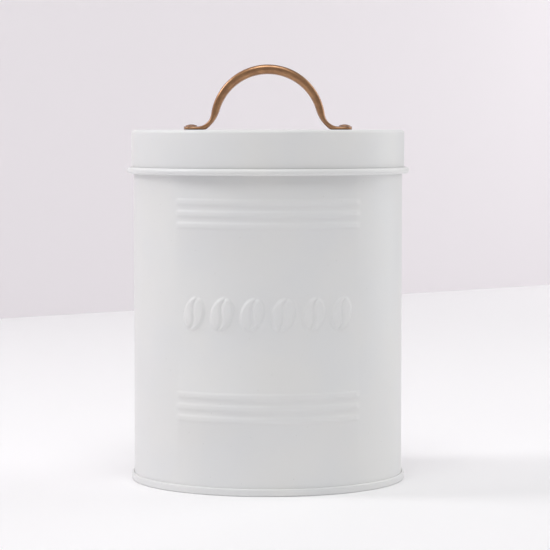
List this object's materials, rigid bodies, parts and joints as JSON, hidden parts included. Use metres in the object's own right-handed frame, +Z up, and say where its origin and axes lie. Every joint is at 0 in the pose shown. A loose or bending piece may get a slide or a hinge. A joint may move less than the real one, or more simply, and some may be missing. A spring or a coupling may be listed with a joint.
{
  "type": "kitchen canister",
  "caption": "Round white sheet-steel kitchen tin with a push-on lid, a curled lid edge, pressed ribs, a row of embossed coffee beans and a riveted copper-coloured bow handle.",
  "frame": {"origin": "centre of the base, on the surface the tin stands on", "axes": "+Z up along the tin's axis, -Y to the front with the embossed row, X along the handle"},
  "size_m": [0.1158, 0.1158, 0.1699],
  "materials": {
    "white_enamel": "satin",
    "copper_plate": "brushed",
    "bare_steel": "satin",
    "silicone": "matte"
  },
  "bodies": {
    "tin": {"tin_wall": "white_enamel", "base_pan": "white_enamel"},
    "lid": {"lid_cap": "white_enamel", "lid_plug": "bare_steel", "lid_seal": "silicone", "handle_bow": "copper_plate", "rivet_left": "copper_plate", "rivet_right": "copper_plate", "washer_left": "bare_steel", "washer_right": "bare_steel"}
  },
  "joints": [
    {"name": "lid_lift", "type": "slide", "parent": "tin", "child": "lid", "axis": [0, 0, 1], "range_m": [0, 0.06]}
  ]
}
